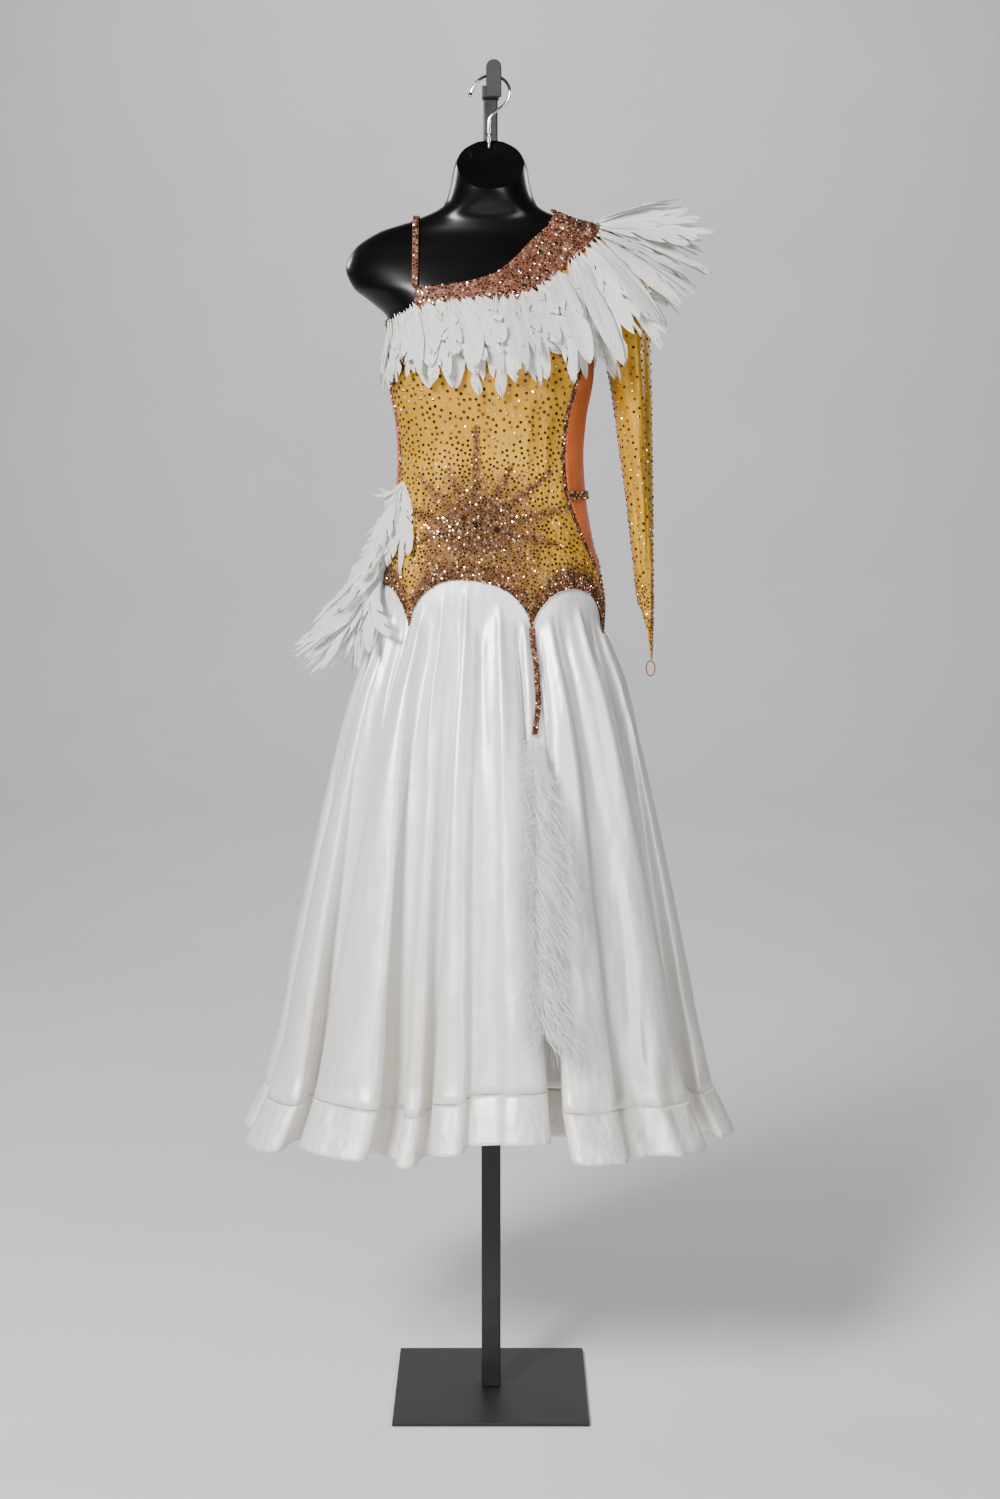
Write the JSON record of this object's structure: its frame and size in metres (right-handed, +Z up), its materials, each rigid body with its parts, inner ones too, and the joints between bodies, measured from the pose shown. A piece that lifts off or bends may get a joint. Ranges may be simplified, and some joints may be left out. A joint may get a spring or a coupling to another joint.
{
  "type": "dance dress on a torso form and stand",
  "caption": "Ballroom-style dance dress: one sleeve, stoned gold bodice, white satin gored skirt and feather trims, on a black torso form hung from a pole stand",
  "frame": {"origin": "the centre of the base plate's underside, on the pole's axis", "axes": "+Z up along the pole; -Y is the way the dress faces; +X is the side of the sleeve, on the right as seen from the front"},
  "size_m": [0.7505, 0.6409, 2.031],
  "materials": {
    "gold_satin": "satin",
    "rust_mesh": "matte",
    "white_satin": "satin",
    "stoned_band": "glossy",
    "feather_white": "matte",
    "topaz_stone": "polished",
    "copper_elastic": "satin",
    "form_black": "semi_gloss",
    "stand_black": "satin",
    "chrome": "polished"
  },
  "bodies": {
    "root": {"bodice_front": "gold_satin", "bodice_back": "gold_satin", "sleeve": "gold_satin", "side_mesh_left": "rust_mesh", "side_mesh_right": "rust_mesh", "neck_band_front": "stoned_band", "neck_band_back": "stoned_band", "strap": "stoned_band", "belt_tab_left": "stoned_band", "belt_tab_right": "stoned_band", "drop_strip": "stoned_band", "skirt_gore_1": "white_satin", "skirt_gore_2": "white_satin", "skirt_gore_3": "white_satin", "skirt_gore_4": "white_satin", "skirt_gore_5": "white_satin", "skirt_gore_6": "white_satin", "hem_band_1": "white_satin", "hem_band_2": "white_satin", "hem_band_3": "white_satin", "hem_band_4": "white_satin", "hem_band_5": "white_satin", "hem_band_6": "white_satin", "feather_trim_front": "feather_white", "feather_trim_back": "feather_white", "feather_trim_shoulder": "feather_white", "hip_feathers": "feather_white", "plume": "feather_white", "star_stone_1": "topaz_stone", "star_stone_2": "topaz_stone", "star_stone_3": "topaz_stone", "star_stone_4": "topaz_stone", "star_stone_5": "topaz_stone", "star_stone_6": "topaz_stone", "star_stone_7": "topaz_stone", "star_stone_8": "topaz_stone", "star_stone_9": "topaz_stone", "finger_loop": "copper_elastic", "torso_form": "form_black", "hook": "chrome", "base_plate": "stand_black", "pole_lower": "stand_black", "pole_upper": "stand_black", "pole_cap": "stand_black", "hook_peg": "stand_black", "peg_stop": "stand_black"}
  },
  "joints": []
}
